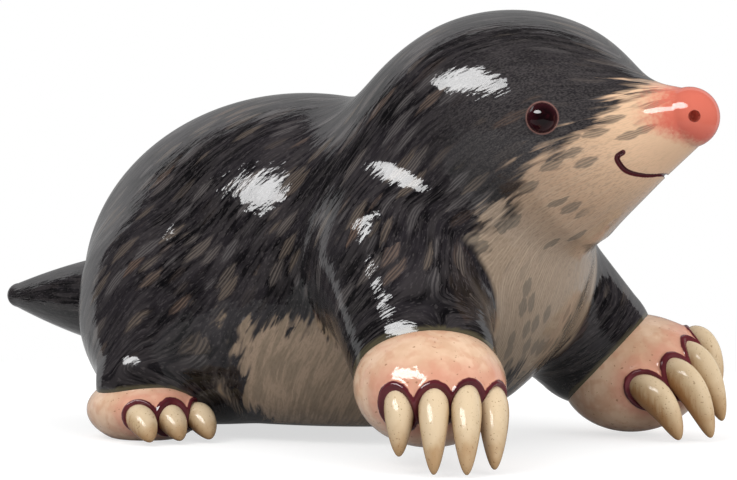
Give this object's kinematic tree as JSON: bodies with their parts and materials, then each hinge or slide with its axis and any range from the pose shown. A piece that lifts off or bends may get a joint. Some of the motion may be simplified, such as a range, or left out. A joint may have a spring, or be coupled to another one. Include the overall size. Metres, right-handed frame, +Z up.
{
  "type": "mole figurine",
  "caption": "Glazed ceramic mole that lies on its belly with its head raised, broad clawed forepaws spread, small hind feet, a short cone tail and glass bead eyes.",
  "frame": {"origin": "middle of the footprint on the floor, between the nose tip and the tail tip and between the outermost claws; the head and trunk are symmetric about the plane Y = +2.65 mm", "axes": "+X towards the nose, +Y towards the mole's left side, +Z up"},
  "size_m": [0.173, 0.0988, 0.0804],
  "materials": {
    "coat": "clear gloss glaze over brushed charcoal underglaze",
    "flesh": "clear gloss glaze over peach underglaze",
    "horn": "clear gloss glaze over ivory underglaze",
    "eye": "polished"
  },
  "bodies": {
    "root": {"coat_casting": "coat", "tail": "coat", "eye_left": "eye", "eye_right": "eye", "forepaw_left": "flesh", "forepaw_right": "flesh", "hindpaw_left": "flesh", "hindpaw_right": "flesh", "fore_claw_left_1": "horn", "fore_claw_left_2": "horn", "fore_claw_left_3": "horn", "fore_claw_left_4": "horn", "fore_claw_right_1": "horn", "fore_claw_right_2": "horn", "fore_claw_right_3": "horn", "fore_claw_right_4": "horn", "hind_claw_left_1": "horn", "hind_claw_left_2": "horn", "hind_claw_left_3": "horn", "hind_claw_right_1": "horn", "hind_claw_right_2": "horn", "hind_claw_right_3": "horn"}
  },
  "joints": []
}
